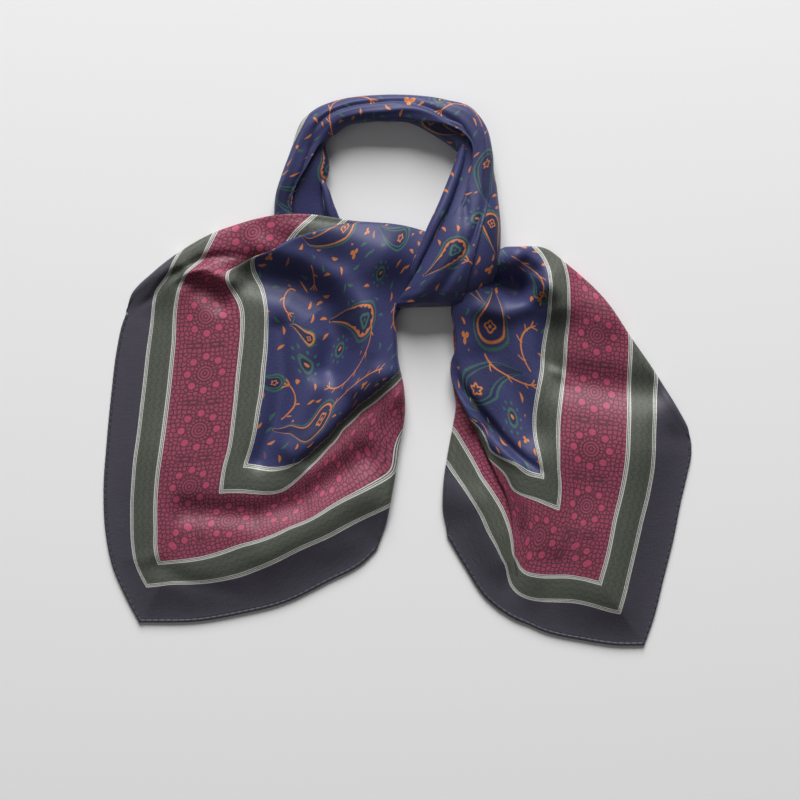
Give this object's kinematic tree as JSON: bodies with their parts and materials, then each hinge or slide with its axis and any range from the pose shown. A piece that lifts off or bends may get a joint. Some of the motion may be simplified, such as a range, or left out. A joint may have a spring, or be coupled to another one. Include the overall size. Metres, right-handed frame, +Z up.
{
  "type": "neckerchief",
  "caption": "Square neckerchief of printed silk, folded on its diagonal, rolled into a neck loop and tied with one overhand wrap, laid flat with both ends spread.",
  "frame": {"origin": "centre of the bounding box, on the surface that it lies on", "axes": "+X to the viewer's right, along its widest extent; +Y from the two ends to the neck loop; +Z up from the surface"},
  "size_m": [0.3608, 0.337, 0.0302],
  "materials": {
    "navy": "satin sheen on fine twill",
    "burgundy": "satin sheen on fine twill",
    "charcoal": "satin sheen on fine twill"
  },
  "bodies": {
    "root": {"left_end": "burgundy", "left_end_upper_fold": "burgundy", "left_end_layers": "navy", "left_end_root_layers": "navy", "right_end": "burgundy", "right_end_lower_fold": "burgundy", "right_end_layers": "navy", "right_end_root_layers": "navy", "knot_wrap": "navy", "knot_outer_strip": "navy", "knot_layers": "navy", "loop_left_roll": "navy", "loop_left_wrap": "navy", "loop_top_roll": "navy", "loop_top_wrap": "navy", "loop_right_roll": "navy", "loop_right_wrap": "navy", "loop_right_inner_roll": "navy", "loop_left_inner_roll": "navy", "left_end_side_hem": "charcoal", "left_end_lower_hem": "charcoal", "right_end_side_hem": "charcoal", "right_end_lower_hem": "charcoal"}
  },
  "joints": []
}
